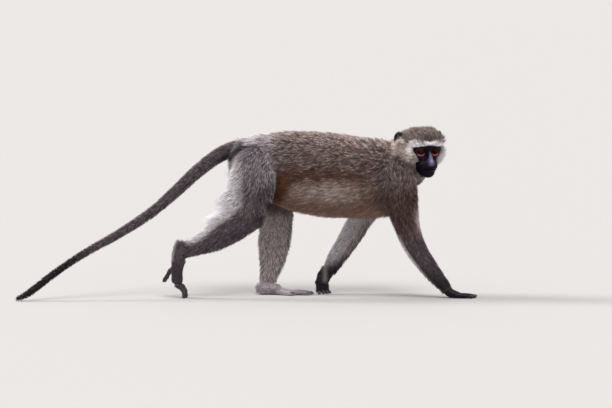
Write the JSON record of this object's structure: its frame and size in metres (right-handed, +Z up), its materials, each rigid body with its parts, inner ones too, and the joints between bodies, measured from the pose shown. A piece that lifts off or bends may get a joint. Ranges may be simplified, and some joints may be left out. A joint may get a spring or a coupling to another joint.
{
  "type": "vervet monkey model",
  "caption": "Still, life-size model of a walking vervet monkey, its long tail trailing to the floor behind it and its head turned to its right",
  "frame": {"origin": "on the floor, under the middle of the box that holds the whole animal with its tail", "axes": "+X the way it walks, along its greatest length; +Y its left; +Z up"},
  "size_m": [1.0302, 0.213, 0.3825],
  "materials": {
    "grizzled_coat": "dense grizzled fur, olive grey over the back and pale beneath",
    "tail_coat": "short slate-grey fur turning black at the tip",
    "white_coat": "soft white fur of the brow band, cheeks, throat and belly",
    "face_skin": "nearly black skin with a dull sheen, furred round the face",
    "bare_skin": "black creased skin of ears, palms and soles under very short hair",
    "eye": "wet, dark brown",
    "nail": "dull black horn"
  },
  "bodies": {
    "root": {"trunk": "grizzled_coat", "neck": "grizzled_coat", "head": "face_skin", "eye_right": "eye", "eye_left": "eye", "ear_right": "bare_skin", "ear_left": "bare_skin", "upper_arm_right": "grizzled_coat", "forearm_right": "grizzled_coat", "hand_right": "bare_skin", "upper_arm_left": "grizzled_coat", "forearm_left": "grizzled_coat", "hand_left": "bare_skin", "thigh_right": "grizzled_coat", "shank_right": "grizzled_coat", "foot_right": "bare_skin", "thigh_left": "grizzled_coat", "shank_left": "grizzled_coat", "foot_left": "bare_skin", "tail_root": "tail_coat", "tail_upper": "tail_coat", "tail_lower": "tail_coat", "tail_tip": "tail_coat"}
  },
  "joints": []
}
